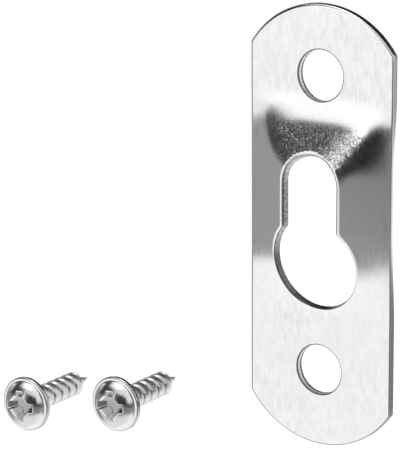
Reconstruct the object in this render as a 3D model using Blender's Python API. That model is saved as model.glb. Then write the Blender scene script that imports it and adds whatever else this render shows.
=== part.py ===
"""Keyhole hanger: a stamped steel plate with a raised keyhole, and its two washer-head screws.

Metres, +Z up. The plate stands upright as it hangs: its flat back lies in the plane Y = 0,
its front faces -Y, and the origin is on the back plane midway between the two screw holes.
"""

import math

import bmesh
import bpy
from mathutils import Vector

MM = 0.001

# Fastening screws
THREAD_DIAMETER = 2.4 * MM
THREAD_DEPTH = 0.25 * MM
THREAD_PITCH = 1.2 * MM
SCREW_LENGTH = 10.0 * MM
POINT_LENGTH = 2.4 * MM
POINT_RADIUS = 0.07 * MM
FLANGE_OVERLAP = 0.25 * MM
FLANGE_THICKNESS = 0.55 * MM
FLANGE_LEDGE = 0.5 * MM
DOME_HEIGHT = 1.25 * MM
RECESS_SPAN = 3.56 * MM
RECESS_WING = 1.0 * MM
RECESS_DEPTH = 1.3 * MM
RECESS_TAPER = 0.45
RECESS_CORNER = 1.64
ROOT_SHARE = 0.14
CREST_START = 0.32
CREST_END = 0.82

# Plate outline
PLATE_WIDTH = 16.0 * MM
SHEET = 0.8 * MM
END_RISE = 4.3 * MM
HOLE_CLEARANCE = 2.6 * MM

# Keyhole: the slot's width, the entry's diameter and the travel between their centres
SLOT_WIDTH = 6.1 * MM
ENTRY_DIAMETER = 9.3 * MM
SLOT_TRAVEL = 8.0 * MM
NECK_FILLET = 0.8 * MM

# Metal left along the plate's middle line, from the top end to the bottom end
UPPER_END_WEB = 4.4 * MM
UPPER_WEB = 4.95 * MM
LOWER_WEB = 3.75 * MM
LOWER_END_WEB = 5.2 * MM

# Raised middle of the plate
FLANK_ANGLE = math.radians(22.8)
RAMP_ANGLE = math.radians(22.7)
RAMP_FOOT_BELOW_HOLE = 0.96 * MM
FOOT_ROUNDING = 0.82 * MM
TWIST_LENGTH = 7.6 * MM
FADE_LENGTH = 9.3 * MM
RIDGE_ROUNDING = 1.0 * MM
CREASE_ROUNDING = 2.15 * MM
CREASE_GROWTH = 1.4 * MM

# Loose screws, beside the plate and in front of its plane
SCREW_ASIDE = 4.45 * MM
SCREWS_APART = 5.6 * MM
UPPER_SCREW_DROP = 4.7 * MM
LOWER_SCREW_DROP = 2.7 * MM
POINT_CLEARANCE = 0.6 * MM

# Metal colours and roughness
PLATE_COLOUR = (0.80, 0.79, 0.78)
PLATE_ROUGHNESS = 0.28
SCREW_COLOUR = (0.86, 0.86, 0.87)
SCREW_ROUGHNESS = 0.16

# Mesh counts
SEAM_SEGMENTS = 20
SIDE_SEGMENTS = 3
END_SEGMENTS = 18
SHOULDER_SEGMENTS = 6
SLOT_SEGMENTS = 6
NECK_SEGMENTS = 3
ENTRY_SEGMENTS = 8
PAD_RINGS = 3
MIDDLE_RINGS = 7
THREAD_SEGMENTS = 20
HEAD_SEGMENTS = 36
DOME_STEPS = 5
RIM_STEPS = 3
SHOULDER_ANGLE = math.radians(52)
SEAM_SHARE = 0.12
SHARP_ANGLE = math.radians(32)
MERGE_DISTANCE = 0.005 * MM

# Sizes that follow from the ones above
HALF_WIDTH = PLATE_WIDTH / 2
THREAD_RADIUS = THREAD_DIAMETER / 2
CORE_RADIUS = THREAD_RADIUS - THREAD_DEPTH
HOLE_RADIUS = THREAD_RADIUS + HOLE_CLEARANCE / 2
FLANGE_RADIUS = HOLE_RADIUS + FLANGE_OVERLAP
DOME_RADIUS = FLANGE_RADIUS - FLANGE_LEDGE
SLOT_RADIUS = SLOT_WIDTH / 2
ENTRY_RADIUS = ENTRY_DIAMETER / 2
UPPER_STEP = HOLE_RADIUS + UPPER_WEB + SLOT_RADIUS
LOWER_STEP = ENTRY_RADIUS + LOWER_WEB + HOLE_RADIUS
HOLE_SPACING = UPPER_STEP + SLOT_TRAVEL + LOWER_STEP
UPPER_HOLE = HOLE_SPACING / 2
LOWER_HOLE = -HOLE_SPACING / 2
SLOT_CENTRE = UPPER_HOLE - UPPER_STEP
ENTRY_CENTRE = LOWER_HOLE + LOWER_STEP
SLOT_TOP = SLOT_CENTRE + SLOT_RADIUS
ENTRY_BOTTOM = ENTRY_CENTRE - ENTRY_RADIUS
NECK_RISE = math.sqrt((ENTRY_RADIUS + NECK_FILLET) ** 2 - (SLOT_RADIUS + NECK_FILLET) ** 2)
NECK_CENTRE = ENTRY_CENTRE + NECK_RISE
RAMP_FOOT = UPPER_HOLE - HOLE_RADIUS - RAMP_FOOT_BELOW_HOLE
RAMP_START = RAMP_FOOT + FOOT_ROUNDING / math.tan(RAMP_ANGLE)
UPPER_SEAM = UPPER_HOLE - HOLE_RADIUS - SEAM_SHARE * UPPER_WEB
LOWER_SEAM = (ENTRY_BOTTOM + LOWER_HOLE + HOLE_RADIUS) / 2
LOWER_SCREW_X = -HALF_WIDTH - SCREW_ASIDE - FLANGE_RADIUS
UPPER_SCREW_X = LOWER_SCREW_X - 2 * FLANGE_RADIUS - SCREWS_APART
LOWER_SCREW_Z = LOWER_HOLE - LOWER_SCREW_DROP
UPPER_SCREW_Z = LOWER_HOLE - UPPER_SCREW_DROP


def clear_scene():
    """Remove every object that the file starts with."""
    for thing in list(bpy.data.objects):
        bpy.data.objects.remove(thing, do_unlink=True)


def metal(name, colour, roughness):
    """A bare metal with one colour."""
    material = bpy.data.materials.new(name)
    material.use_nodes = True
    shader = material.node_tree.nodes["Principled BSDF"]
    shader.inputs["Base Color"].default_value = (*colour, 1.0)
    shader.inputs["Metallic"].default_value = 1.0
    shader.inputs["Roughness"].default_value = roughness
    return material


def add_object(name, mesh, parent=None):
    """A new object of the scene that holds the mesh."""
    thing = bpy.data.objects.new(name, mesh)
    thing.parent = parent
    bpy.context.collection.objects.link(thing)
    return thing


def mesh_from(build, name):
    """A closed mesh from a bmesh, with its faces turned outwards."""
    bmesh.ops.recalc_face_normals(build, faces=build.faces)
    mesh = bpy.data.meshes.new(name)
    build.to_mesh(mesh)
    build.free()
    return mesh


def between(first, last, steps):
    """Evenly spaced values from first to last, both included."""
    return [first + (last - first) * step / steps for step in range(steps + 1)]


def ease(share):
    """A smooth step from 0 to 1."""
    share = min(max(share, 0.0), 1.0)
    return share * share * (3 - 2 * share)


def flank_rise(x, z):
    """How far a side flank stands proud of the flat: it turns up below the ramp's start, from the
    plate's straight edge, and lies down again beside the entry hole."""
    inset = math.hypot(HALF_WIDTH, RIDGE_ROUNDING) - math.hypot(x, RIDGE_ROUNDING)
    turned_up = ease((RAMP_START - z) / TWIST_LENGTH)
    turned_down = ease((z - NECK_CENTRE) / FADE_LENGTH + 1)
    return max(inset, 0.0) * math.tan(FLANK_ANGLE) * turned_up * turned_down


def ramp_rise(z):
    """How far the upper ramp stands proud of the flat, with a rounded foot."""
    plain = (RAMP_FOOT - z) * math.tan(RAMP_ANGLE)
    if plain <= -FOOT_ROUNDING:
        return 0.0
    if plain >= FOOT_ROUNDING:
        return plain
    return (plain + FOOT_ROUNDING) ** 2 / (4 * FOOT_ROUNDING)


def rise(x, z):
    """Height of the front above the flat: the lower of flank and ramp, rounded along their crease by
    an amount that grows from the plate's edge to the ridge."""
    flank = flank_rise(x, z)
    ramp = ramp_rise(z)
    if min(flank, ramp) <= 0.0:
        return 0.0
    mean = flank * ramp / (flank + ramp)
    rounding = CREASE_ROUNDING * mean / (mean + CREASE_GROWTH)
    near = max(1 - abs(flank - ramp) / rounding, 0.0)
    return min(flank, ramp) - near * near * rounding / 4


def seam_line(seam, hole_centre):
    """Points across the plate, left to right, at equal angles from a screw hole's centre."""
    reach = abs(seam - hole_centre)
    widest = math.atan2(HALF_WIDTH, reach)
    return [(reach * math.tan(angle), seam) for angle in between(-widest, widest, SEAM_SEGMENTS)]


def pad_outline(hole_centre, seam, end_web):
    """A rounded end of the plate: right side, end arc, left side, then back along the seam."""
    up = 1 if hole_centre > seam else -1
    end = hole_centre + up * (HOLE_RADIUS + end_web)
    corner = end - up * END_RISE
    end_radius = (HALF_WIDTH ** 2 + END_RISE ** 2) / (2 * END_RISE)
    half_angle = math.asin(HALF_WIDTH / end_radius)
    arc_centre = end - up * end_radius
    right = [(HALF_WIDTH, z) for z in between(seam, corner, SIDE_SEGMENTS)[:-1]]
    arc = [
        (end_radius * math.sin(angle), arc_centre + up * end_radius * math.cos(angle))
        for angle in between(half_angle, -half_angle, END_SEGMENTS)
    ]
    left = [(-HALF_WIDTH, z) for z in between(corner, seam, SIDE_SEGMENTS)[1:-1]]
    return right + arc + left + seam_line(seam, hole_centre)[:-1]


def hole_outline(hole_centre, outline):
    """Points of a screw hole, each in line with a point of the outline around it."""
    bearings = [math.atan2(z - hole_centre, x) for x, z in outline]
    return [
        (HOLE_RADIUS * math.cos(bearing), hole_centre + HOLE_RADIUS * math.sin(bearing))
        for bearing in bearings
    ]


def arc_points(centre_x, centre_z, radius, first, last, steps):
    """Points along an arc in the plate's plane."""
    return [
        (centre_x + radius * math.cos(angle), centre_z + radius * math.sin(angle))
        for angle in between(first, last, steps)
    ]


def keyhole_sides():
    """Right-hand wall of the keyhole from the slot's shoulder down, and the plate's edge beside it."""
    neck_turn = math.atan2(NECK_CENTRE - ENTRY_CENTRE, SLOT_RADIUS + NECK_FILLET)
    shoulder = arc_points(0, SLOT_CENTRE, SLOT_RADIUS, SHOULDER_ANGLE, 0, SHOULDER_SEGMENTS)
    slot = [(SLOT_RADIUS, z) for z in between(SLOT_CENTRE, NECK_CENTRE, SLOT_SEGMENTS)]
    fillet_x = SLOT_RADIUS + NECK_FILLET
    neck = arc_points(fillet_x, NECK_CENTRE, NECK_FILLET, math.pi, math.pi + neck_turn, NECK_SEGMENTS)
    entry = arc_points(0, ENTRY_CENTRE, ENTRY_RADIUS, neck_turn, -SHOULDER_ANGLE, ENTRY_SEGMENTS)
    wall = shoulder + slot[1:] + neck[1:] + entry[1:]
    levels = between(UPPER_SEAM, SLOT_CENTRE, SHOULDER_SEGMENTS)
    levels += [z for _, z in slot[1:] + neck[1:]]
    levels += between(neck[-1][1], LOWER_SEAM, ENTRY_SEGMENTS)[1:]
    return wall, [(HALF_WIDTH, z) for z in levels]


def keyhole_loops():
    """The keyhole's wall and the outline around it, point for point, anticlockwise from the front."""
    wall, edge = keyhole_sides()
    slot_arc = arc_points(
        0, SLOT_CENTRE, SLOT_RADIUS, SHOULDER_ANGLE, math.pi - SHOULDER_ANGLE, SEAM_SEGMENTS
    )
    entry_arc = arc_points(
        0, ENTRY_CENTRE, ENTRY_RADIUS, SHOULDER_ANGLE - math.pi, -SHOULDER_ANGLE, SEAM_SEGMENTS
    )
    left_wall = [(-x, z) for x, z in wall[1:-1]]
    left_edge = [(-x, z) for x, z in edge[1:-1]]
    inner = slot_arc + left_wall + entry_arc + wall[-2:0:-1]
    outer = seam_line(UPPER_SEAM, UPPER_HOLE)[::-1] + left_edge
    outer += seam_line(LOWER_SEAM, LOWER_HOLE) + edge[-2:0:-1]
    return inner, outer


class SheetFace:
    """The plate's front face, woven from rings of quads between each hole and the outline around it."""

    def __init__(self):
        self.build = bmesh.new()
        self.known = {}

    def point(self, x, z):
        """The vertex of the front face above a point of the plate's plane."""
        key = (round(x / MM, 4), round(z / MM, 4))
        if key not in self.known:
            self.known[key] = self.build.verts.new((x, -SHEET - rise(x, z), z))
        return self.known[key]

    def weave(self, inner, outer, rings):
        """Fill the space between two loops of as many points each."""
        rows = []
        for share in between(0, 1, rings):
            row = []
            for (x0, z0), (x1, z1) in zip(inner, outer):
                row.append(self.point(x0 + (x1 - x0) * share, z0 + (z1 - z0) * share))
            rows.append(row)
        for near, far in zip(rows, rows[1:]):
            for step in range(len(near)):
                following = (step + 1) % len(near)
                self.build.faces.new((near[step], far[step], far[following], near[following]))


def plate_mesh():
    """The plate's front face as an open sheet facing -Y."""
    face = SheetFace()
    for centre, seam, end_web in (
        (UPPER_HOLE, UPPER_SEAM, UPPER_END_WEB),
        (LOWER_HOLE, LOWER_SEAM, LOWER_END_WEB),
    ):
        outline = pad_outline(centre, seam, end_web)
        face.weave(hole_outline(centre, outline), outline, PAD_RINGS)
    face.weave(*keyhole_loops(), MIDDLE_RINGS)
    bmesh.ops.recalc_face_normals(face.build, faces=face.build.faces)
    if sum(polygon.normal.y for polygon in face.build.faces) > 0:
        bmesh.ops.reverse_faces(face.build, faces=face.build.faces)
    mesh = bpy.data.meshes.new("plate_front")
    face.build.to_mesh(mesh)
    face.build.free()
    mesh.shade_smooth()
    return mesh


def hanger_plate(parent):
    """The stamped plate: its front face thickened towards the back."""
    plate = add_object("hanger_plate", plate_mesh(), parent)
    sheet = plate.modifiers.new("sheet", "SOLIDIFY")
    sheet.thickness = SHEET
    sheet.offset = -1
    plate.data.materials.append(metal("plate_metal", PLATE_COLOUR, PLATE_ROUGHNESS))
    return plate


def thread_radius(height, crest):
    """Radius of the thread's root or crest at a height above the screw's point."""
    full = THREAD_RADIUS if crest else CORE_RADIUS
    share = min(height / POINT_LENGTH, 1.0)
    return POINT_RADIUS + (full - POINT_RADIUS) * share


def thread_mesh():
    """The threaded shank: one helical ribbon of root, flank and crest, closed by a fan at each end."""
    profile = ((0.0, False), (ROOT_SHARE, False), (CREST_START, True), (CREST_END, True))
    rows_per_turn = len(profile)
    run_in = SCREW_LENGTH + FLANGE_THICKNESS / 4
    turns = math.floor(run_in / THREAD_PITCH)
    start = run_in - turns * THREAD_PITCH
    last_row = turns * rows_per_turn
    build = bmesh.new()
    columns = []
    for column in range(THREAD_SEGMENTS):
        turn_share = column / THREAD_SEGMENTS
        angle = 2 * math.pi * turn_share
        points = []
        for row in range(last_row + 1):
            offset, crest = profile[row % rows_per_turn]
            height = start + THREAD_PITCH * (row // rows_per_turn + offset + turn_share)
            radius = thread_radius(height, crest)
            points.append(build.verts.new((radius * math.cos(angle), radius * math.sin(angle), height)))
        columns.append(points)
    for column in range(THREAD_SEGMENTS):
        here = columns[column]
        crosses_start = column + 1 == THREAD_SEGMENTS
        there = columns[0][rows_per_turn:] if crosses_start else columns[column + 1]
        for row in range(min(len(here), len(there)) - 1):
            build.faces.new((here[row], there[row], there[row + 1], here[row + 1]))
    low_loop = [column[0] for column in columns] + columns[0][rows_per_turn:0:-1]
    high_loop = [column[-1] for column in columns] + columns[-1][-2:-2 - rows_per_turn:-1]
    tip = build.verts.new((0, 0, 0))
    top = build.verts.new((0, 0, max(vertex.co.z for vertex in high_loop)))
    for loop, apex in ((low_loop, tip), (high_loop, top)):
        for here, there in zip(loop, loop[1:] + loop[:1]):
            build.faces.new((here, there, apex))
    return mesh_from(build, "thread")


def head_mesh():
    """The washer head: a flange with a rounded rim under a low dome, turned about the screw's axis."""
    rim = FLANGE_THICKNESS / 2
    base = SCREW_LENGTH
    dome_base = base + FLANGE_THICKNESS
    profile = [(0, base), (FLANGE_RADIUS - rim, base)]
    profile += [
        (FLANGE_RADIUS - rim + rim * math.cos(angle), base + rim + rim * math.sin(angle))
        for angle in between(-math.pi / 4, math.pi / 2, RIM_STEPS)
    ]
    profile += [
        (DOME_RADIUS * math.cos(angle), dome_base + DOME_HEIGHT * math.sin(angle))
        for angle in between(0, math.pi / 2, DOME_STEPS)
    ]
    build = bmesh.new()
    points = [build.verts.new((radius, 0, height)) for radius, height in profile]
    edges = [build.edges.new(pair) for pair in zip(points, points[1:])]
    bmesh.ops.spin(
        build, geom=points + edges, axis=(0, 0, 1), cent=(0, 0, 0),
        angle=2 * math.pi, steps=HEAD_SEGMENTS, use_merge=True,
    )
    bmesh.ops.remove_doubles(build, verts=build.verts, dist=MERGE_DISTANCE)
    return mesh_from(build, "head")


def recess_mesh():
    """The cross recess: a plus-shaped block that tapers to its floor."""
    wing, reach = RECESS_WING / 2, RECESS_SPAN / 2
    top = SCREW_LENGTH + FLANGE_THICKNESS + DOME_HEIGHT
    blunt = RECESS_CORNER * wing
    corner = ((reach, -wing), (reach, wing), (blunt, wing), (wing, blunt))
    outline = []
    for quarter in range(4):
        cos, sin = round(math.cos(quarter * math.pi / 2)), round(math.sin(quarter * math.pi / 2))
        outline += [(x * cos - y * sin, x * sin + y * cos) for x, y in corner]
    build = bmesh.new()
    levels = ((top + RECESS_DEPTH, 1 + RECESS_TAPER), (top - RECESS_DEPTH, 1 - RECESS_TAPER))
    loops = [
        [build.verts.new((x * scale, y * scale, height)) for x, y in outline]
        for height, scale in levels
    ]
    for loop in loops:
        build.faces.new(loop)
    upper, lower = loops
    for step in range(len(upper)):
        following = (step + 1) % len(upper)
        build.faces.new((upper[step], upper[following], lower[following], lower[step]))
    return mesh_from(build, "recess")


def screw_mesh():
    """One screw with its point at the origin and its head towards +Z."""
    head = add_object("head", head_mesh())
    thread = add_object("thread", thread_mesh())
    recess = add_object("recess", recess_mesh())
    for tool, operation in ((thread, "UNION"), (recess, "DIFFERENCE")):
        step = head.modifiers.new(tool.name, "BOOLEAN")
        step.operation = operation
        step.object = tool
    graph = bpy.context.evaluated_depsgraph_get()
    mesh = bpy.data.meshes.new_from_object(head.evaluated_get(graph))
    for helper in (head, thread, recess):
        bpy.data.objects.remove(helper, do_unlink=True)
    mesh.shade_smooth()
    mesh.set_sharp_from_angle(angle=SHARP_ANGLE)
    return mesh


def loose_screw(name, mesh, x, z, parent):
    """A screw beside the plate, its point towards the plate's plane and clear of the raised middle."""
    screw = add_object(name, mesh.copy(), parent)
    highest = SHEET + max(rise(SLOT_RADIUS, z) for z in between(NECK_CENTRE, SLOT_TOP, SLOT_SEGMENTS))
    screw.location = Vector((x, -highest - POINT_CLEARANCE, z))
    screw.rotation_euler = (math.pi / 2, 0, 0)
    screw.data.materials.append(metal(name + "_metal", SCREW_COLOUR, SCREW_ROUGHNESS))
    return screw


def main():
    """Build the hanger and its two screws under one empty."""
    clear_scene()
    hanger = add_object("keyhole_hanger", None)
    hanger_plate(hanger)
    screw = screw_mesh()
    loose_screw("upper_screw", screw, UPPER_SCREW_X, UPPER_SCREW_Z, hanger)
    loose_screw("lower_screw", screw, LOWER_SCREW_X, LOWER_SCREW_Z, hanger)


main()
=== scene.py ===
"""Looks of a keyhole hanger: a stamped, bright-plated steel plate and its two loose washer-head screws.

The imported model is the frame. Each of its pieces is replaced by a finer mesh of the same shape and
size, with rolled rims, sheared edges and a turned thread, and is dressed in procedural metal finishes.
Metres, +Z up: the plate's back lies in the plane Y = 0 and its front faces -Y.
"""

from __future__ import annotations

import logging
import math
from dataclasses import dataclass
from enum import Enum
from typing import Any

import bmesh
import bpy
from mathutils import Matrix, Quaternion, Vector

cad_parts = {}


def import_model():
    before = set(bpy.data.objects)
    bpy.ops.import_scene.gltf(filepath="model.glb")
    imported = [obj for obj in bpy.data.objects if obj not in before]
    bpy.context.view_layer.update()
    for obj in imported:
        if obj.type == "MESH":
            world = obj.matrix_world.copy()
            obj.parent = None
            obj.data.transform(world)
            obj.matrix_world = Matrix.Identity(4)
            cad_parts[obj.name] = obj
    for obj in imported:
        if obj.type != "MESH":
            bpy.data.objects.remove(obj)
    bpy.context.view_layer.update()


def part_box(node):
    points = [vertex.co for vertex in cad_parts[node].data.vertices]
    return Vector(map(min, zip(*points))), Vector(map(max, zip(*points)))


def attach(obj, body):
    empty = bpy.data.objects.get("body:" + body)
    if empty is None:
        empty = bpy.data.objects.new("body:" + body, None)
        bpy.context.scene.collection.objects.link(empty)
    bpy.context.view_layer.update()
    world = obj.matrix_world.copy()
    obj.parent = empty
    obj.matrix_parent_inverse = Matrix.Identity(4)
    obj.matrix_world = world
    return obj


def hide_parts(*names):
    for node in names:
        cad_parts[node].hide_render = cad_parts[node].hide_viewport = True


MM = 0.001
WELD_DISTANCE = 0.0001 * MM
QUARTER_TURN = math.pi / 2
HALF_TURN = math.pi
FULL_TURN = 2 * math.pi
LOG = logging.getLogger("keyhole_hanger")

Pair = tuple[float, float]
Triple = tuple[float, float, float]
Colour = Triple
Socket = bpy.types.NodeSocket
Vertex = bmesh.types.BMVert

# Most of a noise's values lie in this span
NOISE_SPAN: Pair = (0.3, 0.7)


class Rim(Enum):
    """Where an outline's point lies: on a free edge of the sheet, or on a seam between two zones."""

    EDGE = "edge"
    SEAM = "seam"


class Skin(Enum):
    """The plate's finishes, by the number of their material slot."""

    SHEET = 0
    SHEARED = 1
    BORE = 2
    KEYHOLE = 3


class Tone(Enum):
    """How bright a studio panel is, where 1 is white."""

    GLARE = 2.6
    WHITE = 1.3
    PLAIN = 1.0
    MIST = 0.85
    GREY = 0.345
    ASH = 0.31
    SLATE = 0.13
    DUSK = 0.04
    BLACK = 0.02


class Border(Enum):
    """Which border of a studio panel blends into the panel beside it."""

    FIRST = "first"
    LAST = "last"
    LOWER = "lower"


def between(first: float, last: float, steps: int) -> list[float]:
    """Evenly spaced values, both ends included."""
    return [first + (last - first) * step / steps for step in range(steps + 1)]


def mix(first: float, last: float, share: float) -> float:
    """The value that lies a share of the way from the first to the last."""
    return first + (last - first) * share


def ease(share: float) -> float:
    """A smooth step from 0 to 1."""
    share = min(max(share, 0.0), 1.0)
    return share * share * (3 - 2 * share)


def soft_min(first: float, second: float, radius: float) -> float:
    """The lower of two heights, rounded over where they are less than the radius apart."""
    near = max(radius - abs(first - second), 0.0) / radius
    return min(first, second) - near * near * radius / 4


def soft_floor(height: float, radius: float) -> float:
    """A height held above 0, rounded over where it is less than the radius from 0."""
    foot = min(max(height + radius, 0.0), 2 * radius)
    return foot * foot / (4 * radius) + max(height - radius, 0.0)


def add_object(name: str, data: bpy.types.ID) -> bpy.types.Object:
    """Put a new object into the scene.

    Args:
        name: The object's name.
        data: Its mesh, lamp or camera.

    Returns:
        The object.
    """
    made = bpy.data.objects.new(name, data)
    bpy.context.collection.objects.link(made)
    return made


class MeshBench:
    """A mesh in the making, whose vertices keep named values for the finishes."""

    def __init__(self, *layers: str) -> None:
        """Start an empty mesh, whose vertices keep a value under each of the names."""
        self.build = bmesh.new()
        for layer in layers:
            self.build.verts.layers.float.new(layer)

    def vertex(self, place: Any, **values: float) -> Vertex:
        """Add a vertex.

        Args:
            place: Where it is.
            **values: What it keeps, by name.

        Returns:
            The vertex.
        """
        made = self.build.verts.new(place)
        for layer, value in values.items():
            made[self.build.verts.layers.float[layer]] = value
        return made

    def face(self, *corners: Vertex, slot: int = 0) -> None:
        """Add a smooth face between corners in their order, in a material slot."""
        made = self.build.faces.new(corners)
        made.material_index, made.smooth = slot, True

    def band(self, here: list[Vertex], there: list[Vertex], skins: list[Skin] | None = None) -> None:
        """Join two rows by faces, as far as the shorter row goes, each with its skin."""
        for row in range(min(len(here), len(there)) - 1):
            slot = skins[row].value if skins else 0
            self.face(here[row], there[row], there[row + 1], here[row + 1], slot=slot)

    def weld(self) -> None:
        """Drop vertices without faces, join those that meet, and turn all faces outwards."""
        loose = [vertex for vertex in self.build.verts if not vertex.link_faces]
        bmesh.ops.delete(self.build, geom=loose, context="VERTS")
        bmesh.ops.remove_doubles(self.build, verts=self.build.verts, dist=WELD_DISTANCE)
        bmesh.ops.recalc_face_normals(self.build, faces=self.build.faces)

    def mesh(self, name: str) -> bpy.types.Mesh:
        """End the making.

        Args:
            name: The mesh's name.

        Returns:
            The mesh.
        """
        made = bpy.data.meshes.new(name)
        self.build.to_mesh(made)
        self.build.free()
        return made


class NodeBench:
    """The node tree of a material or a world, with short calls that add and join nodes."""

    def __init__(self, owner: bpy.types.Material | bpy.types.World) -> None:
        """Start from an empty tree.

        Args:
            owner: The material or world.
        """
        self.owner = owner
        owner.use_nodes = True
        self.tree = owner.node_tree
        self.tree.nodes.clear()

    def add(self, kind: str, inputs: dict[Any, Any] | None = None, **settings: Any) -> bpy.types.Node:
        """Add a node and fill in its sockets.

        Args:
            kind: The node's type name.
            inputs: Socket name or number to a value, or to the output socket that feeds it.
            **settings: The node's own properties.

        Returns:
            The new node.
        """
        node = self.tree.nodes.new(kind)
        for name, value in settings.items():
            setattr(node, name, value)
        for name, value in (inputs or {}).items():
            if isinstance(value, Socket):
                self.tree.links.new(value, node.inputs[name])
            else:
                node.inputs[name].default_value = value
        return node

    def maths(self, operation: str, first: Any, second: Any) -> Socket:
        """Work out one number from two numbers or sockets."""
        return self.add("ShaderNodeMath", {0: first, 1: second}, operation=operation).outputs[0]

    def vectors(self, operation: str, inputs: dict[Any, Any]) -> Socket:
        """Work out one vector from the inputs of a vector node."""
        return self.add("ShaderNodeVectorMath", inputs, operation=operation).outputs[0]

    def remap(self, value: Any, source: Pair, target: Pair) -> Socket:
        """Stretch one range of numbers onto another, held at its ends."""
        inputs = {0: value, 1: source[0], 2: source[1], 3: target[0], 4: target[1]}
        return self.add("ShaderNodeMapRange", inputs).outputs[0]

    def place(self) -> Socket:
        """The place on the surface, in the object's own coordinates."""
        return self.add("ShaderNodeTexCoord").outputs["Object"]

    def noise(self, cell: Any, detail: float) -> Socket:
        """Noise around one half.

        Args:
            cell: Size of one blotch along X, Y and Z.
            detail: How many finer octaves it has.

        Returns:
            The socket with its value.
        """
        inputs = {"Vector": self.place(), "Scale": [1 / side for side in cell]}
        mapped = self.add("ShaderNodeMapping", inputs).outputs["Vector"]
        inputs = {"Vector": mapped, "Scale": 1.0, "Detail": detail}
        return self.add("ShaderNodeTexNoise", inputs).outputs["Fac"]

    def attribute(self, name: str) -> Socket:
        """The value that the mesh keeps at each point under a name."""
        return self.add("ShaderNodeAttribute", attribute_name=name).outputs["Fac"]

    def bump(self, relief: Socket, rise: float, **more: Any) -> Socket:
        """Raise the surface by a relief from 0 to 1, of which 1 stands up by the rise."""
        inputs = {"Strength": 1.0, "Distance": rise, "Height": relief, **more}
        return self.add("ShaderNodeBump", inputs).outputs["Normal"]

    def facets(self, cell: float, tilt: Any) -> Socket:
        """Tilt the surface by a different angle in each small crystal.

        Args:
            cell: Size of one crystal.
            tilt: How far the crystals lean, as a slope from side to side.

        Returns:
            The socket with the new normal.
        """
        crystals = self.add("ShaderNodeTexVoronoi", {"Vector": self.place(), "Scale": 1 / cell})
        lean = self.vectors("SUBTRACT", {0: crystals.outputs["Color"], 1: (0.5, 0.5, 0.5)})
        scaled = self.vectors("SCALE", {0: lean, "Scale": tilt})
        upright = self.add("ShaderNodeNewGeometry").outputs["Normal"]
        turned = self.vectors("ADD", {0: upright, 1: scaled})
        return self.vectors("NORMALIZE", {0: turned})

    def tint(self, share: Any, low: Any, high: Any) -> Socket:
        """Mix two colours, each a colour or a socket, by the share of the second that shows."""
        low, high = [tone if isinstance(tone, Socket) else (*tone, 1.0) for tone in (low, high)]
        return self.add("ShaderNodeMix", {0: share, 6: low, 7: high}, data_type="RGBA").outputs[2]

    def show(self, shader: bpy.types.Node) -> bpy.types.Material:
        """Send a shader to the material's output, and hand over the material."""
        self.add("ShaderNodeOutputMaterial", {"Surface": shader.outputs[0]})
        return self.owner

    def metal(
        self, colour: Socket, roughness: Socket, normal: Socket, metallic: float = 1.0
    ) -> bpy.types.Material:
        """Show a metal with this colour, roughness and normal, and hand over the material."""
        inputs = {"Base Color": colour, "Metallic": metallic, "Roughness": roughness, "Normal": normal}
        return self.show(self.add("ShaderNodeBsdfPrincipled", inputs))


def new_material(name: str) -> NodeBench:
    """The bench that builds the nodes of a new material."""
    return NodeBench(bpy.data.materials.new(name))


@dataclass(frozen=True)
class PlatedSheet:
    """Bright plated sheet: rolling lines along the plate, and grain where the press stretched it."""

    bright: Colour = (0.885, 0.87, 0.865)
    dull: Colour = (0.735, 0.72, 0.715)
    roughness: Pair = (0.13, 0.20)
    stretched_roughness: float = 0.04
    line_cell: Triple = (0.32 * MM, 0.32 * MM, 1.0 * MM)
    line_rise: float = 0.0003 * MM
    line_weight: float = 0.7
    mark_span: Pair = (0.35, 0.6)
    raised_marks: float = 0.3
    grain_cell: float = 0.095 * MM
    grain_tilt: float = 0.155
    cloud_cell: float = 6.0 * MM
    cloud_span: Pair = (0.4, 0.62)
    cloud_least: float = 0.5

    def material(self) -> bpy.types.Material:
        """Build the finish's nodes.

        Returns:
            The finish's material.
        """
        bench = new_material("bright_plated_sheet")
        lines = bench.noise(self.line_cell, detail=4.0)
        cloud = bench.noise([self.cloud_cell] * 3, detail=2.0)
        stretch = bench.attribute("stretch")
        lined = bench.maths("MULTIPLY", lines, self.line_weight)
        clouded = bench.maths("MULTIPLY", cloud, 1 - self.line_weight)
        marks = bench.maths("ADD", lined, clouded)
        marked = bench.remap(bench.attribute("drawn"), (0.0, 1.0), (1.0, self.raised_marks))
        patches = bench.remap(cloud, self.cloud_span, (self.cloud_least, 1.0))
        patchy = bench.maths("MULTIPLY", patches, marked)
        dulled = bench.maths("MULTIPLY", bench.remap(marks, self.mark_span, (1.0, 0.0)), patchy)
        colour = bench.tint(dulled, self.bright, self.dull)
        worn = bench.remap(marks, NOISE_SPAN, self.roughness)
        stretched = bench.maths("MULTIPLY", stretch, self.stretched_roughness)
        facets = bench.facets(self.grain_cell, bench.maths("MULTIPLY", stretch, self.grain_tilt))
        normal = bench.bump(lines, self.line_rise, Strength=marked, Normal=facets)
        return bench.metal(colour, bench.maths("ADD", worn, stretched), normal)


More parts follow.
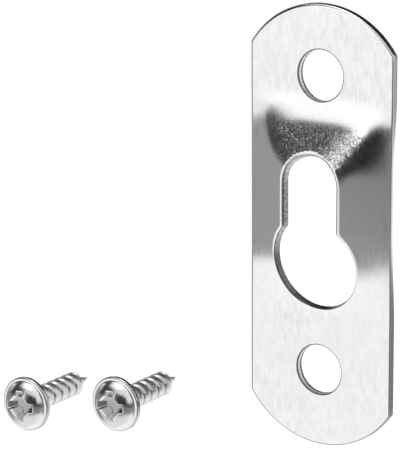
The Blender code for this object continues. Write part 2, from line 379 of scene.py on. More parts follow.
@dataclass(frozen=True)
class ShearedEdge:
    """The punched edges: a rolled rim painted darker as painted shade, a burnished band behind it, and
    behind that a rough break, whose dark colour is partly the dull fracture and partly a painted dark
    line along the back edge.
    """

    name: str = "sheared_edge"
    rolled: Colour = (0.74, 0.735, 0.73)
    burnished: Colour = (0.40, 0.395, 0.39)
    break_and_shade: Colour = (0.16, 0.155, 0.15)
    roughness: Pair = (0.14, 0.30)
    metallic: float = 1.0
    # Strength of the painted shade on the edges below the keyhole's neck
    painted_lower_shade: float = 0.6
    pitted: float = 0.0
    # Dark colour of the pits, and of the painted shade below the keyhole's neck
    pit_and_shade: Colour = (0.05, 0.05, 0.05)
    pit_cell: float = 0.22 * MM
    pit_span: Pair = (0.52, 0.6)
    score_cell: Triple = (0.12 * MM, 0.9 * MM, 0.12 * MM)
    score_rise: float = 0.01 * MM
    ragged: float = 0.07
    roll_share: Pair = (0.14, 0.26)
    break_share: Pair = (0.76, 0.90)

    def material(self) -> bpy.types.Material:
        """Build the finish's nodes.

        Returns:
            The finish's material.
        """
        bench = new_material(self.name)
        scores = bench.noise(self.score_cell, detail=3.0)
        wander = bench.remap(scores, NOISE_SPAN, (-self.ragged, self.ragged))
        depth = bench.maths("ADD", bench.attribute("depth"), wander)
        front = bench.remap(depth, self.roll_share, (0.0, 1.0))
        back = bench.remap(depth, self.break_share, (1.0, 0.0))
        # Painted shade: the rolled front band and the back break are darkened into dark lines along the
        # edge
        colour = bench.tint(front, self.rolled, self.burnished)
        colour = bench.tint(back, self.break_and_shade, colour)
        pits = bench.noise([self.pit_cell] * 3, detail=1.0)
        colour = bench.tint(bench.remap(pits, self.pit_span, (0.0, self.pitted)), colour, self.pit_and_shade)
        # Painted shade: edges below the keyhole's neck are darkened towards the dark pit colour
        painted_lower_shade = bench.maths("MULTIPLY", bench.attribute("painted_lower_shade"), self.painted_lower_shade)
        colour = bench.tint(painted_lower_shade, colour, self.pit_and_shade)
        roughness = bench.remap(scores, NOISE_SPAN, self.roughness)
        return bench.metal(colour, roughness, bench.bump(scores, self.score_rise), self.metallic)


OUTLINE_EDGE = ShearedEdge()
# Painted light: the screw holes' walls are painted near white and made less metallic so that they show
# bright, between a painted dark line at the rolled front rim and a painted black line at the back edge
BORE_EDGE = ShearedEdge(
    name="punched_bore",
    rolled=(0.22, 0.215, 0.215),
    burnished=(0.94, 0.93, 0.925),
    break_and_shade=(0.05, 0.05, 0.05),
    roughness=(0.39, 0.55),
    metallic=0.7,
    painted_lower_shade=0.1,
    break_share=(0.60, 0.72),
)
# Painted shade: the keyhole's rolled rim is painted dark as a thin dark line inside the bright rim, and
# its wall is darkened below the neck
KEYHOLE_EDGE = ShearedEdge(
    name="punched_keyhole",
    rolled=(0.22, 0.215, 0.215),
    burnished=(0.58, 0.57, 0.565),
    break_and_shade=(0.36, 0.355, 0.35),
    roughness=(0.24, 0.40),
    painted_lower_shade=0.75,
    pitted=0.55,
)


@dataclass(frozen=True)
class BrightScrew:
    """Bright plated screw steel, with painted shade in the thread's grooves, on the flange's rim, over
    the dome and inside the recess, and a painted highlight along the recess's rim.
    """

    bright: Colour = (0.84, 0.84, 0.855)
    # Painted shade: the dome is darker than the flange, and lightens again towards the ledge
    dome: Colour = (0.64, 0.64, 0.655)
    # Colour of the painted shade in the thread's roots and on the flange's rim
    painted_shade: Colour = (0.08, 0.08, 0.085)
    # Colour of the painted shade inside the cross recess
    recess: Colour = (0.40, 0.40, 0.415)
    # Colour of the painted highlight along the recess's rim
    worn: Colour = (0.92, 0.92, 0.925)
    roughness: Pair = (0.21, 0.30)
    thread_roughness: float = 0.08
    speck_cell: float = 0.3 * MM
    speck_rise: float = 0.004 * MM

    def material(self) -> bpy.types.Material:
        """Build the finish's nodes.

        Returns:
            The finish's material.
        """
        bench = new_material("bright_screw_plating")
        specks = bench.noise([self.speck_cell] * 3, detail=3.0)
        # Painted shade: the thread's roots and the flange's rim are darkened
        colour = bench.tint(bench.attribute("painted_shade"), self.bright, self.painted_shade)
        # Painted shade over the dome
        colour = bench.tint(bench.attribute("dome"), colour, self.dome)
        # Painted shade: the cross recess is darkened
        colour = bench.tint(bench.attribute("recess"), colour, self.recess)
        # Painted highlight: a bright band along the recess's rim
        colour = bench.tint(bench.attribute("painted_rim_highlight"), colour, self.worn)
        plain = bench.remap(specks, NOISE_SPAN, self.roughness)
        threaded = bench.maths("MULTIPLY", bench.attribute("thread"), self.thread_roughness)
        roughness = bench.maths("ADD", plain, threaded)
        return bench.metal(colour, roughness, bench.bump(specks, self.speck_rise))


@dataclass(frozen=True)
class PlanPoint:
    """A point of an outline in the plate's plane, with the direction from it into the metal."""

    x: float
    z: float
    into_x: float
    into_z: float
    rim: Rim = Rim.EDGE

    def inset(self, distance: float) -> Pair:
        """The place that far into the metal."""
        return self.x + self.into_x * distance, self.z + self.into_z * distance

    def mirrored(self) -> PlanPoint:
        """The same point on the plate's other side."""
        return PlanPoint(-self.x, self.z, -self.into_x, self.into_z, self.rim)


def arc(centre: Pair, radius: float, turn: Pair, steps: int, hollow: bool = True) -> list[PlanPoint]:
    """Points along an arc.

    Args:
        centre: The arc's centre, in X and Z.
        radius: The arc's radius.
        turn: First and last angle, anticlockwise from +X.
        steps: How many steps the arc has.
        hollow: True if the metal lies outside the arc.

    Returns:
        The arc's points in order.
    """
    outward = 1 if hollow else -1
    points = []
    for angle in between(*turn, steps):
        cos, sin = math.cos(angle), math.sin(angle)
        x, z = centre[0] + radius * cos, centre[1] + radius * sin
        points.append(PlanPoint(x, z, outward * cos, outward * sin))
    return points


@dataclass(frozen=True)
class BoreRim:
    """A hole's rim: front radius above and below, share as bright as the sheet, and the wall's skin."""

    roll: float
    lower_roll: float
    polish: float
    skin: Skin


@dataclass
class HangerPlate:
    """The stamped plate, woven as a closed sheet between each hole and the outline around it."""

    low: Vector
    high: Vector

    # Outline and holes
    sheet: float = 0.8 * MM
    end_rise: float = 4.3 * MM
    hole_radius: float = 2.5 * MM
    upper_end_web: float = 4.4 * MM
    upper_web: float = 4.95 * MM
    lower_web: float = 3.75 * MM
    lower_end_web: float = 5.2 * MM
    slot_radius: float = 3.05 * MM
    entry_radius: float = 4.65 * MM
    neck_fillet: float = 0.8 * MM

    # Raised middle
    flank_slope: float = math.tan(math.radians(22.8))
    ramp_slope: float = math.tan(math.radians(22.7))
    ramp_foot_below_hole: float = 0.96 * MM
    foot_rounding: float = 0.82 * MM
    twist_length: float = 7.6 * MM
    fade_length: float = 9.3 * MM
    ridge_rounding: float = 1.0 * MM
    crease_rounding: float = 2.15 * MM
    crease_growth: float = 1.4 * MM

    # Grain on the ramp
    grain_onset: float = 0.55
    grain_growth: float = 0.5
    grain_reach: float = 1.5
    grain_fade: float = 0.6
    least_flank: float = 0.01 * MM

    # Rims
    left_edge_roll: float = 0.32 * MM
    right_edge_roll: float = 0.12 * MM
    screw_hole: BoreRim = BoreRim(0.12 * MM, 0.12 * MM, 0.0, Skin.BORE)
    keyhole: BoreRim = BoreRim(0.34 * MM, 0.12 * MM, 0.5, Skin.KEYHOLE)
    back_roll: float = 0.05 * MM

    # Weave
    lean_reach: float = 0.8 * MM
    shoulder_angle: float = math.radians(52)
    seam_share: float = 0.12
    seam_steps: int = 48
    end_steps: int = 48
    side_steps: int = 9
    shoulder_steps: int = 12
    slot_steps: int = 16
    neck_steps: int = 8
    entry_steps: int = 22
    roll_steps: int = 6
    wall_steps: int = 3
    pad_rings: int = 14
    middle_rings: int = 26
    ring_crowding: float = 0.75

    def __post_init__(self) -> None:
        """Work out the levels along the plate's middle line from its ends."""
        self.half_width = (self.high.x - self.low.x) / 2
        self.upper_hole = self.high.z - self.upper_end_web - self.hole_radius
        self.lower_hole = self.low.z + self.lower_end_web + self.hole_radius
        self.slot_centre = self.upper_hole - self.hole_radius - self.upper_web - self.slot_radius
        self.entry_centre = self.lower_hole + self.hole_radius + self.lower_web + self.entry_radius
        self.neck_x = self.slot_radius + self.neck_fillet
        reach = self.entry_radius + self.neck_fillet
        self.neck_centre = self.entry_centre + math.sqrt(reach**2 - self.neck_x**2)
        self.ramp_foot = self.upper_hole - self.hole_radius - self.ramp_foot_below_hole
        self.ramp_start = self.ramp_foot + self.foot_rounding / self.ramp_slope
        self.upper_seam = self.upper_hole - self.hole_radius - self.seam_share * self.upper_web
        self.lower_seam = self.lower_hole + self.hole_radius + self.lower_web / 2

    def flank(self, x: float, z: float) -> float:
        """Height of a side flank, which turns up below the ramp and lies down beside the entry hole.

        Args:
            x: Place across the plate.
            z: Place along the plate.

        Returns:
            The height above the flat ends.
        """
        inset = math.hypot(self.half_width, self.ridge_rounding) - math.hypot(x, self.ridge_rounding)
        turned_up = ease((self.ramp_start - z) / self.twist_length)
        turned_down = ease((z - self.neck_centre) / self.fade_length + 1)
        return inset * self.flank_slope * turned_up * turned_down

    def ramp(self, z: float) -> float:
        """Height of the upper ramp above the flat ends, with a rounded foot."""
        return soft_floor((self.ramp_foot - z) * self.ramp_slope, self.foot_rounding)

    def rise(self, x: float, z: float) -> float:
        """Height of the front: the lower of flank and ramp, rounded at their crease.

        Args:
            x: Place across the plate.
            z: Place along the plate.

        Returns:
            The height above the flat ends.
        """
        flank, ramp = self.flank(x, z), self.ramp(z)
        if min(flank, ramp) <= 0.0:
            return min(flank, ramp)
        mean = flank * ramp / (flank + ramp)
        return soft_min(flank, ramp, self.crease_rounding * mean / (mean + self.crease_growth))

    def stretch(self, x: float, z: float) -> float:
        """How much the press stretched the sheet: all over the ramp and its rounded shoulders.

        Args:
            x: Place across the plate.
            z: Place along the plate.

        Returns:
            The stretch, from 0 to 1.
        """
        ramp = self.ramp(z)
        share = ramp / max(self.flank(x, z), self.least_flank)
        drawn = ease((ramp / self.foot_rounding - self.grain_onset) / self.grain_growth)
        return drawn * ease((self.grain_reach - share) / self.grain_fade)

    def below_neck(self, z: float) -> float:
        """How far a level lies below the keyhole's neck, from 0 to 1."""
        return ease((self.neck_centre - z) / self.entry_radius)

    def point(self, x: float, z: float, depth: float) -> Vector:
        """A point of the sheet.

        Args:
            x: Place across the plate.
            z: Place along the plate.
            depth: Distance behind the front face, square to the sheet.

        Returns:
            The point in the shared frame.
        """
        reach = self.lean_reach
        lean_x = (self.rise(x + reach, z) - self.rise(x - reach, z)) / (2 * reach)
        lean_z = (self.rise(x, z + reach) - self.rise(x, z - reach)) / (2 * reach)
        inwards = Vector((lean_x, 1.0, lean_z)).normalized()
        return Vector((x, -self.sheet - self.rise(x, z), z)) + inwards * depth

    def seam(self, level: float, hole: float) -> list[PlanPoint]:
        """Points across the plate, left to right, at equal angles from a screw hole's centre.

        Args:
            level: The seam's place along the plate.
            hole: The hole's place along the plate.

        Returns:
            The seam's points.
        """
        reach = abs(level - hole)
        widest = math.atan2(self.half_width, reach)
        line = [
            PlanPoint(reach * math.tan(angle), level, 0.0, 0.0, Rim.SEAM)
            for angle in between(-widest, widest, self.seam_steps)
        ]
        line[0] = PlanPoint(-self.half_width, level, 1.0, 0.0, Rim.SEAM)
        line[-1] = line[0].mirrored()
        return line

    def pad_loop(self, hole: float, level: float, end_web: float) -> list[PlanPoint]:
        """The outline of one end: right side, end arc, left side, then back along the seam.

        Args:
            hole: The hole's place along the plate.
            level: The seam's place along the plate.
            end_web: The metal between the hole and the plate's end.

        Returns:
            The outline's points.
        """
        up = 1 if hole > level else -1
        end = hole + up * (self.hole_radius + end_web)
        corner = end - up * self.end_rise
        end_radius = (self.half_width**2 + self.end_rise**2) / (2 * self.end_rise)
        first = QUARTER_TURN - math.asin(self.half_width / end_radius)
        turn = (up * first, up * (HALF_TURN - first))
        cap = arc((0, end - up * end_radius), end_radius, turn, self.end_steps, hollow=False)
        mitre = Vector((-1.0, 0.0)) + Vector((cap[0].into_x, cap[0].into_z))
        mitre *= 2 / mitre.length_squared
        cap[0] = PlanPoint(self.half_width, corner, mitre.x, mitre.y)
        cap[-1] = cap[0].mirrored()
        levels = between(level, corner, self.side_steps)[:-1]
        right = [PlanPoint(self.half_width, z, -1.0, 0.0) for z in levels]
        left = [point.mirrored() for point in right[:0:-1]]
        right[0] = PlanPoint(self.half_width, level, -1.0, 0.0, Rim.SEAM)
        return right + cap + left + self.seam(level, hole)[:-1]

    def hole_loop(self, hole: float, outline: list[PlanPoint]) -> list[PlanPoint]:
        """A screw hole's wall, each point in line with a point of the outline around it."""
        aims = [Vector((place.x, place.z - hole)).normalized() for place in outline]
        return [
            PlanPoint(aim.x * self.hole_radius, hole + aim.y * self.hole_radius, aim.x, aim.y)
            for aim in aims
        ]

    def keyhole_loops(self) -> tuple[list[PlanPoint], list[PlanPoint]]:
        """The keyhole's wall and the outline around it, anticlockwise from the front.

        Returns:
            The wall's points, and the outline's points, one for each of the wall's.
        """
        slot_place, entry_place = (0.0, self.slot_centre), (0.0, self.entry_centre)
        neck_place = (self.neck_x, self.neck_centre)
        slant = self.shoulder_angle
        neck_angle = math.atan2(self.neck_centre - self.entry_centre, self.neck_x)
        neck_turn = (HALF_TURN, HALF_TURN + neck_angle)
        shoulder = arc(slot_place, self.slot_radius, (slant, 0), self.shoulder_steps)
        levels = between(self.slot_centre, self.neck_centre, self.slot_steps)[1:]
        slot = [PlanPoint(self.slot_radius, z, 1.0, 0.0) for z in levels]
        neck = arc(neck_place, self.neck_fillet, neck_turn, self.neck_steps, hollow=False)[1:]
        entry = arc(entry_place, self.entry_radius, (neck_angle, -slant), self.entry_steps)[1:]
        wall = shoulder + slot + neck + entry
        heights = between(self.upper_seam, self.slot_centre, self.shoulder_steps)
        heights += [point.z for point in slot + neck]
        heights += between(neck[-1].z, self.lower_seam, self.entry_steps)[1:]
        edge = [PlanPoint(self.half_width, z, -1.0, 0.0) for z in heights]
        inner = arc(slot_place, self.slot_radius, (slant, HALF_TURN - slant), self.seam_steps)
        inner += [point.mirrored() for point in wall[1:-1]]
        inner += arc(entry_place, self.entry_radius, (slant - HALF_TURN, -slant), self.seam_steps)
        inner += wall[-2:0:-1]
        outer = self.seam(self.upper_seam, self.upper_hole)[::-1]
        outer += [point.mirrored() for point in edge[1:-1]]
        outer += self.seam(self.lower_seam, self.lower_hole)
        outer += edge[-2:0:-1]
        return inner, outer

    def rim_profile(self, roll: float) -> list[Pair]:
        """The section of a rim, from the front's rolled edge to the back's.

        Args:
            roll: Radius of the front's edge.

        Returns:
            Inset and depth of each point.
        """
        angles = between(0, QUARTER_TURN, self.roll_steps)
        back_roll, back_start = self.back_roll, self.sheet - self.back_roll
        front = [(roll * (1 - math.sin(angle)), roll * (1 - math.cos(angle))) for angle in angles]
        wall = [(0.0, depth) for depth in between(roll, back_start, self.wall_steps)[1:-1]]
        back = [
            (back_roll * (1 - math.cos(angle)), self.sheet - back_roll * (1 - math.sin(angle)))
            for angle in angles
        ]
        return front + wall + back

    def vertex(self, bench: MeshBench, place: Any, depth: float) -> Vertex:
        """Add a vertex of the sheet at a place and a depth, with the values that its finishes read."""
        return bench.vertex(
            self.point(*place, depth),
            depth=depth / self.sheet,
            stretch=self.stretch(*place),
            drawn=ease(self.rise(*place) / self.foot_rounding),
            # Painted shade mask: 1 below the keyhole's neck, read by the edge finishes
            painted_lower_shade=self.below_neck(place[1]),
        )

    def rim(self, bench: MeshBench, place: PlanPoint, roll: float) -> list[Vertex]:
        """Add the vertices of a rim's section, from front to back."""
        profile = self.rim_profile(roll)
        return [self.vertex(bench, place.inset(inset), depth) for inset, depth in profile]

    def weave(
        self, bench: MeshBench, inner: list[PlanPoint], outer: list[PlanPoint], bore: BoreRim, rings: int
    ) -> None:
        """Fill one zone: its front, its back, the hole's rim and the free edge.

        Args:
            bench: The mesh to add to.
            inner: The hole's points.
            outer: The outline's points, one for each of the hole's.
            bore: The hole's rim.
            rings: How many rings of faces lie between them.
        """
        crowding = self.ring_crowding / FULL_TURN
        shares = [u - crowding * math.sin(FULL_TURN * u) for u in between(0, 1, rings)[1:-1]]
        rim_rows, edge_rows, front_rows, back_rows = [], [], [], []
        for hole_point, edge_point in zip(inner, outer):
            hole_roll = mix(bore.roll, bore.lower_roll, self.below_neck(hole_point.z))
            leftness = ease((1 + edge_point.into_x) / 2)
            edge_roll = mix(self.right_edge_roll, self.left_edge_roll, leftness)
            hole_rim = self.rim(bench, hole_point, hole_roll)
            edge_rim = self.rim(bench, edge_point, edge_roll)
            start, end = Vector(hole_point.inset(hole_roll)), Vector(edge_point.inset(edge_roll))
            front = [self.vertex(bench, start.lerp(end, share), 0.0) for share in shares]
            start, end = [Vector(place.inset(self.back_roll)) for place in (hole_point, edge_point)]
            back = [self.vertex(bench, start.lerp(end, share), self.sheet) for share in shares]
            rim_rows.append(hole_rim)
            edge_rows.append(edge_rim)
            front_rows.append([hole_rim[0], *front, edge_rim[0]])
            back_rows.append([hole_rim[-1], *back, edge_rim[-1]])
        face_skins = [Skin.SHEET] * rings
        polished = round(self.roll_steps * bore.polish)
        walled = 2 * self.roll_steps + self.wall_steps
        bore_skins = [Skin.SHEET] * polished + [bore.skin] * (walled - polished)
        edge_skins = [Skin.SHEET] + [Skin.SHEARED] * (walled - 1)
        for here in range(len(inner)):
            there = (here + 1) % len(inner)
            bench.band(front_rows[here], front_rows[there], face_skins)
            bench.band(back_rows[there], back_rows[here], face_skins)
            bench.band(rim_rows[there], rim_rows[here], bore_skins)
            if Rim.EDGE in (outer[here].rim, outer[there].rim):
                bench.band(edge_rows[here], edge_rows[there], edge_skins)

    def mesh(self) -> bpy.types.Mesh:
        """The whole plate as one closed mesh.

        Returns:
            The plate's mesh.
        """
        bench = MeshBench("depth", "stretch", "drawn", "painted_lower_shade")
        for hole, level, end_web in (
            (self.upper_hole, self.upper_seam, self.upper_end_web),
            (self.lower_hole, self.lower_seam, self.lower_end_web),
        ):
            outline = self.pad_loop(hole, level, end_web)
            self.weave(bench, self.hole_loop(hole, outline), outline, self.screw_hole, self.pad_rings)
        self.weave(bench, *self.keyhole_loops(), self.keyhole, self.middle_rings)
        bench.weld()
        return bench.mesh("hanger_plate_fine")

    def dress(self, finishes: dict[Skin, bpy.types.Material]) -> bpy.types.Object:
        """Build the plate and put it in the place of its solid.

        Args:
            finishes: The material of each of the plate's skins.

        Returns:
            The plate's object.
        """
        plate = add_object("stamped_plate", self.mesh())
        for skin in Skin:
            plate.data.materials.append(finishes[skin])
        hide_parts("hanger_plate")
        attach(plate, "plate")
        return plate


@dataclass
class WasherScrew:
    """A washer-head screw: a coarse gimlet-pointed thread under a domed head with a cross recess."""

    body: str
    low: Vector
    high: Vector

    # Thread and point
    thread_radius: float = 1.2 * MM
    core_radius: float = 0.95 * MM
    pitch: float = 1.2 * MM
    thread_turn: float = math.radians(180)
    crest_power: float = 3.4
    crest_shade: float = 0.1
    groove_spread: float = 1.3
    point_length: float = 2.4 * MM
    point_radius: float = 0.05 * MM
    gimlet_width: float = 0.66
    gimlet_step: float = 0.16
    shank_length: float = 10.0 * MM
    run_in_share: float = 0.25

    # Flange and dome
    flange_thickness: float = 0.55 * MM
    flange_ledge: float = 0.5 * MM
    rim_rounding: float = 0.14 * MM
    rim_shade: float = 0.4
    dome_height: float = 1.25 * MM
    dome_fillet: float = 0.97
    ledge_glow: float = 0.5 * MM

    # Recess
    recess_reach: float = 1.78 * MM
    recess_wing: float = 0.5 * MM
    recess_corner: float = 0.82 * MM
    recess_depth: float = 1.3 * MM
    recess_taper: float = 0.45
    recess_rounding: float = 0.1 * MM
    # Width of the painted shade's edge inside the recess and of the painted highlight along its rim
    recess_rim_reach: float = 0.12

    # Steps of the mesh
    turn_steps: int = 56
    profile_steps: int = 12
    head_steps: int = 216
    dome_rings: int = 80
    ledge_rings: int = 3
    rim_rings: int = 6

    def __post_init__(self) -> None:
        """Work out the head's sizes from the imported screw's box."""
        self.flange_radius = (self.high.x - self.low.x) / 2
        self.dome_radius = self.flange_radius - self.flange_ledge
        self.flange_front = self.shank_length + self.flange_thickness
        self.top = self.flange_front + self.dome_height
        fillet_height = math.sqrt(1 - self.dome_fillet**2)
        self.fillet_width = 2 * fillet_height**2 / self.dome_fillet
        self.fillet_rise = fillet_height / self.fillet_width**2
        self.dome_foot = self.dome_radius * (self.dome_fillet + self.fillet_width)

    def thread_point(self, angle: float, height: float, lift: float) -> Vector:
        """A point of the threaded shank, narrowed towards the screw's point.

        Args:
            angle: Its angle around the shank.
            height: Its height above the screw's point.
            lift: Its lift above the core, from 0 to 1.

        Returns:
            The place of the point.
        """
        share = max(height, 0.0) / self.point_length
        slender = self.gimlet_width * min(share, 1.0)
        stepped = (1 - self.gimlet_width) * ease((share - 1) / self.gimlet_step + 1)
        full = mix(self.core_radius, self.thread_radius, lift)
        radius = mix(self.point_radius, full, slender + stepped)
        return Vector((radius * math.cos(angle), radius * math.sin(angle), height))

    def build_thread(self, bench: MeshBench) -> None:
        """Add the threaded shank: one helical ribbon, closed at the point.

        Args:
            bench: The mesh to add to.
        """
        run_in = self.shank_length + self.flange_thickness * self.run_in_share
        turns = math.floor(run_in / self.pitch)
        start = run_in - turns * self.pitch
        columns = []
        for turn in between(0, 1, self.turn_steps)[:-1]:
            angle = FULL_TURN * turn + self.thread_turn
            column = []
            for row in range(turns * self.profile_steps + 1):
                share = row / self.profile_steps
                across = abs(share % 1.0 - 0.5) * 2
                lift = math.sqrt(max(1 - across**self.crest_power, 0.0))
                place = self.thread_point(angle, start + self.pitch * (share + turn), lift)
                # Painted shade: darkest in the thread's roots, light on the crests
                shade = mix(self.crest_shade, 1.0, ease(self.groove_spread * (1 - lift)))
                column.append(bench.vertex(place, painted_shade=shade, thread=1.0))
            columns.append(column)
        for here, there in zip(columns, [*columns[1:], columns[0][self.profile_steps:]]):
            bench.band(here, there)
        tip = bench.vertex((0, 0, 0))
        loop = [column[0] for column in columns] + columns[0][self.profile_steps:0:-1]
        for here, there in zip(loop, loop[1:] + loop[:1]):
            bench.face(there, here, tip)

    def recess_share(self, x: float, y: float) -> float:
        """How far inside the cross recess a point of the head lies; below 0, it is outside."""
        x, y = abs(x), abs(y)
        return max(
            min(1 - x / self.recess_reach, 1 - y / self.recess_wing),
            min(1 - x / self.recess_wing, 1 - y / self.recess_reach),
            1 - (x + y) / (2 * self.recess_corner),
        )

    def recess_floor(self, x: float, y: float) -> float:
        """Height of the cross recess over a point of the head; outside it, above the dome."""
        return self.top - self.recess_depth * min(self.recess_share(x, y) / self.recess_taper, 1.0)

    def dome(self, radius: float) -> float:
        """Height of the dome, which runs out into the flange's front in a small fillet.

        Args:
            radius: Distance from the screw's axis.

        Returns:
            The height above the screw's point.
        """
        share = radius / self.dome_radius
        if share <= self.dome_fillet:
            return self.flange_front + self.dome_height * math.sqrt(1 - share * share)
        left = max(self.dome_foot - radius, 0.0) / self.dome_radius
        return self.flange_front + self.dome_height * self.fillet_rise * left * left

    def flange_profile(self) -> list[Pair]:
        """The section of the head below its dome, from the flange's front to the shank.

        Returns:
            Radius and height of each point.
        """
        rim = self.rim_rounding
        flat_end = self.flange_radius - rim
        ledge = between(self.dome_foot, flat_end, self.ledge_rings)[1:]
        points = [(radius, self.flange_front) for radius in ledge]
        front, rear = self.flange_front - rim, self.shank_length + rim
        for level, turn in ((front, (QUARTER_TURN, 0.0)), (rear, (0.0, -QUARTER_TURN))):
            for angle in between(*turn, self.rim_rings):
                points.append((flat_end + rim * math.cos(angle), level + rim * math.sin(angle)))
        return [*points, (self.core_radius, self.shank_length), (self.core_radius / 2, rear)]

    def head_rows(self) -> list[list[Vector]]:
        """Rings of the head's surface, from the middle of its top to the shank under it.

        Returns:
            The places of each ring's vertices.
        """
        angles = between(0, FULL_TURN, self.head_steps)[:-1]
        rows = []
        for share in between(0, 1, self.dome_rings)[1:]:
            radius = self.dome_foot * math.sin(share * QUARTER_TURN)
            row = []
            for angle in angles:
                x, y = radius * math.cos(angle), radius * math.sin(angle)
                height = soft_min(self.dome(radius), self.recess_floor(x, y), self.recess_rounding)
                row.append(Vector((x, y, height)))
            rows.append(row)
        for radius, height in self.flange_profile():
            rows.append([Vector((radius * math.cos(a), radius * math.sin(a), height)) for a in angles])
        return rows

    def head_values(self, ring: int, place: Vector) -> dict[str, float]:
        """What a vertex of the head keeps for its finish: painted shade on the rim, the dome and the
        recess, and a painted highlight along the recess's rim.

        Args:
            ring: Its ring, counted from the middle of the dome.
            place: Where it is.

        Returns:
            The values by the names of their layers.
        """
        if ring >= self.dome_rings + self.ledge_rings:
            # Painted shade on the flange's rim
            return {"painted_shade": self.rim_shade}
        radius = math.hypot(place.x, place.y)
        brink = (self.top - self.dome(radius)) * self.recess_taper / self.recess_depth
        inside = self.recess_share(place.x, place.y) - brink
        return {
            # Painted shade over the dome, fading out towards the ledge
            "dome": ease((self.dome_foot - radius) / self.ledge_glow),
            # Painted shade inside the recess
            "recess": ease(inside / self.recess_rim_reach),
            # Painted highlight along the recess's rim
            "painted_rim_highlight": ease(1 - abs(inside) / self.recess_rim_reach),
        }

    def build_head(self, bench: MeshBench) -> None:
        """Add the head: domed top with its recess, rounded flange, and rear face down to the shank.

        Args:
            bench: The mesh to add to.
        """
        middle = bench.vertex((0, 0, self.recess_floor(0, 0)), recess=1.0)
        rows = []
        for ring, places in enumerate(self.head_rows()):
            row = [bench.vertex(place, **self.head_values(ring, place)) for place in places]
            rows.append(row + row[:1])
        for here, there in zip(rows[0], rows[0][1:]):
            bench.face(middle, here, there)
        for near, far in zip(rows, rows[1:]):
            bench.band(near, far)

    def mesh(self) -> bpy.types.Mesh:
        """The screw with its point at the origin and its head towards +Z.

        Returns:
            The screw's mesh.
        """
        bench = MeshBench("painted_shade", "thread", "dome", "recess", "painted_rim_highlight")
        self.build_thread(bench)
        self.build_head(bench)
        return bench.mesh(f"{self.body}_fine")

    def dress(self, finish: bpy.types.Material) -> bpy.types.Object:
        """Build the screw and put it in the place of its solid.

        Args:
            finish: The screw's material.

        Returns:
            The screw's object.
        """
        screw = add_object(f"bright_{self.body}", self.mesh())
        middle = (self.low + self.high) / 2
        screw.location = (middle.x, self.high.y, middle.z)
        screw.rotation_euler = (QUARTER_TURN, 0, 0)
        screw.data.materials.append(finish)
        screw.visible_glossy = False
        bpy.context.view_layer.update()
        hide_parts(self.body)
        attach(screw, self.body)
        return screw


@dataclass(frozen=True)
class Fade:
    """A panel's soft border: which one, the tone that it ends in, and its share of the panel."""

    border: Border
    tone: Tone
    share: float

    def level(self, tone: Tone, across: float, up: float) -> float:
        """Brightness of a panel of that tone, at shares of the way across and up."""
        inwards = {Border.FIRST: across, Border.LAST: 1 - across, Border.LOWER: up}[self.border]
        return mix(self.tone.value, tone.value, ease(inwards / self.share))


@dataclass(frozen=True)
class Panel:
    """A studio panel that stands on an arc around the part and shows only in its reflections.

    Azimuths are degrees from -Y towards +X, and the lean is how far its foot is turned on.
    """

    name: str
    tone: Tone
    azimuths: Pair
    heights: Pair
    fade: Fade | None = None
    lean: float = 0.0
    radius: float = 0.40
    steps: int = 40
    levels: int = 8

    def place(self) -> None:
        """Build the panel as a curved strip, hidden from the camera, from diffuse light and from
        shadows.
        """
        bench = MeshBench("level")
        columns = []
        for across in between(0, 1, self.steps):
            column = []
            for up in between(0, 1, self.levels):
                azimuth = math.radians(mix(*self.azimuths, across) + self.lean * (1 - up))
                x, y = self.radius * math.sin(azimuth), -self.radius * math.cos(azimuth)
                place = (x, y, mix(*self.heights, up))
                level = self.fade.level(self.tone, across, up) if self.fade else self.tone.value
                column.append(bench.vertex(place, level=level))
            columns.append(column)
        for here, there in zip(columns, columns[1:]):
            bench.band(here, there)
        nodes = new_material(f"{self.name}_face")
        inputs = {"Color": (1, 1, 1, 1), "Strength": nodes.attribute("level")}
        panel = add_object(self.name, bench.mesh(self.name))
        panel.data.materials.append(nodes.show(nodes.add("ShaderNodeEmission", inputs)))
        panel.visible_camera = False
        panel.visible_diffuse = False
        panel.visible_shadow = False


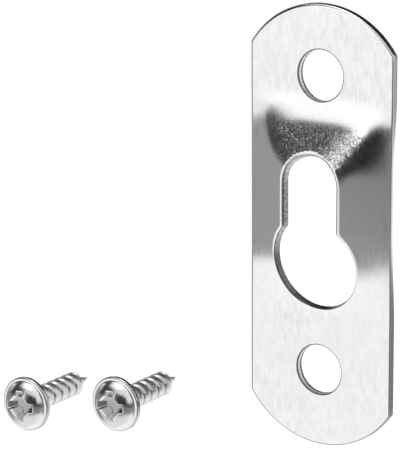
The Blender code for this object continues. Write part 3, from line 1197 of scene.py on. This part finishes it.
@dataclass(frozen=True)
class Studio:
    """Pale floor, white surround, soft lamp, panels and the camera."""

    floor_level: float = -0.36
    floor_side: float = 12.0
    floor_colour: Colour = (0.80, 0.80, 0.80)
    floor_lift: float = 0.51
    surround: float = 0.62
    lamp_place: Triple = (-0.12, -0.05, 0.95)
    lamp_side: float = 0.4
    lamp_power: float = 2.5
    view_azimuth: float = math.radians(34.29)
    view_elevation: float = math.radians(14.6)
    view_roll: float = math.radians(-0.34)
    view_target: Triple = (-9.635 * MM, -7.221 * MM, 0.053 * MM)
    view_distance: float = 263.82 * MM
    view_clip: Pair = (0.01, 50.0)
    lens: float = 218.5
    sensor_width: float = 36.0
    panels: tuple[Panel, ...] = (
        Panel(
            "left_card", Tone.GREY, (-135, -43), (-0.36, 0.023),
            Fade(Border.LAST, Tone.PLAIN, 0.07), lean=-34,
        ),
        Panel("left_upper_card", Tone.DUSK, (-88, -36.2), (0.023, 0.42)),
        Panel("left_far_card", Tone.DUSK, (-150, -88), (0.11, 0.42)),
        Panel(
            "front_card", Tone.WHITE, (-36.2, -19), (-0.08, 0.132),
            Fade(Border.LOWER, Tone.PLAIN, 0.4),
        ),
        Panel(
            "front_upper_card", Tone.DUSK, (-36.2, -19), (0.132, 0.38),
            Fade(Border.LOWER, Tone.SLATE, 0.4),
        ),
        Panel("glare_card", Tone.GLARE, (-19, -15.5), (0.08, 0.32)),
        Panel(
            "right_card", Tone.ASH, (1, 110), (-0.36, -0.09),
            Fade(Border.FIRST, Tone.PLAIN, 0.12), lean=-18,
        ),
        Panel(
            "camera_side_card", Tone.BLACK, (-15.5, 52), (-0.106, 0.27),
            Fade(Border.LOWER, Tone.ASH, 0.21),
        ),
        Panel("right_edge_card", Tone.BLACK, (52, 110), (-0.10, 0.03)),
        Panel("back_card", Tone.MIST, (118, 165), (-0.25, 0.0)),
        Panel("back_upper_card", Tone.BLACK, (150, 220), (0.0, 0.60)),
    )

    def seen(self, bench: NodeBench) -> Socket:
        """1 on a ray of the camera or a reflection, and 0 on a ray that only lights."""
        path = bench.add("ShaderNodeLightPath").outputs
        return bench.maths("MAXIMUM", path["Is Camera Ray"], path["Is Glossy Ray"])

    def build_floor(self) -> None:
        """Lay a pale floor that shows white and keeps the part's shadow."""
        half = self.floor_side / 2
        mesh = bpy.data.meshes.new("pale_floor")
        corners = [(-half, -half, 0), (half, -half, 0), (half, half, 0), (-half, half, 0)]
        mesh.from_pydata(corners, [], [(0, 1, 2, 3)])
        bench = new_material("pale_floor")
        paint = bench.add("ShaderNodeBsdfDiffuse", {"Color": (*self.floor_colour, 1.0)})
        lift = bench.maths("MULTIPLY", self.seen(bench), self.floor_lift)
        glow = bench.add("ShaderNodeEmission", {"Strength": lift})
        both = bench.add("ShaderNodeAddShader", {0: paint.outputs[0], 1: glow.outputs[0]})
        mesh.materials.append(bench.show(both))
        floor = add_object("pale_floor", mesh)
        floor.location.z = self.floor_level

    def build_surround(self) -> None:
        """Make a white world that lights the part at a plain level."""
        bench = NodeBench(bpy.data.worlds.new("white_surround"))
        bpy.context.scene.world = bench.owner
        level = bench.remap(self.seen(bench), (0.0, 1.0), (self.surround, 1.0))
        sky = bench.add("ShaderNodeBackground", {"Color": (1, 1, 1, 1), "Strength": level})
        bench.add("ShaderNodeOutputWorld", {"Surface": sky.outputs[0]})

    def build_lamp(self) -> None:
        """Hang one soft lamp above the part's left."""
        light = bpy.data.lights.new("soft_lamp", "AREA")
        light.size = self.lamp_side
        light.energy = self.lamp_power
        lamp = add_object("soft_lamp", light)
        lamp.location = self.lamp_place
        lamp.rotation_euler = (-Vector(self.lamp_place)).to_track_quat("-Z", "Y").to_euler()

    def build_camera(self) -> None:
        """Set up the camera at the photograph's viewing angle."""
        lens = bpy.data.cameras.new("viewpoint")
        lens.lens = self.lens
        lens.sensor_width = self.sensor_width
        lens.clip_start, lens.clip_end = self.view_clip
        flat = math.cos(self.view_elevation)
        towards = Vector((
            math.sin(self.view_azimuth) * flat,
            -math.cos(self.view_azimuth) * flat,
            math.sin(self.view_elevation),
        ))
        level = (-towards).to_track_quat("-Z", "Y")
        turn = level @ Quaternion((0, 0, 1), self.view_roll)
        place = Vector(self.view_target) + towards * self.view_distance
        camera = add_object("viewpoint", lens)
        camera.matrix_world = Matrix.LocRotScale(place, turn, None)
        bpy.context.scene.camera = camera

    def build(self) -> None:
        """Set up everything around the part."""
        bpy.context.scene.view_settings.view_transform = "Standard"
        self.build_floor()
        self.build_surround()
        self.build_lamp()
        self.build_camera()
        for panel in self.panels:
            panel.place()
            LOG.info("panel %s", panel.name)


def main() -> None:
    """Build the plate, the screws and the studio."""
    logging.basicConfig(level=logging.INFO, format="%(name)s: %(message)s")
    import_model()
    finishes = {
        Skin.SHEET: PlatedSheet().material(),
        Skin.SHEARED: OUTLINE_EDGE.material(),
        Skin.BORE: BORE_EDGE.material(),
        Skin.KEYHOLE: KEYHOLE_EDGE.material(),
    }
    plate = HangerPlate(*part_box("hanger_plate")).dress(finishes)
    LOG.info("%s: %d faces", plate.name, len(plate.data.polygons))
    finish = BrightScrew().material()
    for body in ("upper_screw", "lower_screw"):
        screw = WasherScrew(body, *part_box(body)).dress(finish)
        LOG.info("%s: %d faces", screw.name, len(screw.data.polygons))
    Studio().build()
    bpy.context.view_layer.update()


if __name__ == "__main__":
    main()
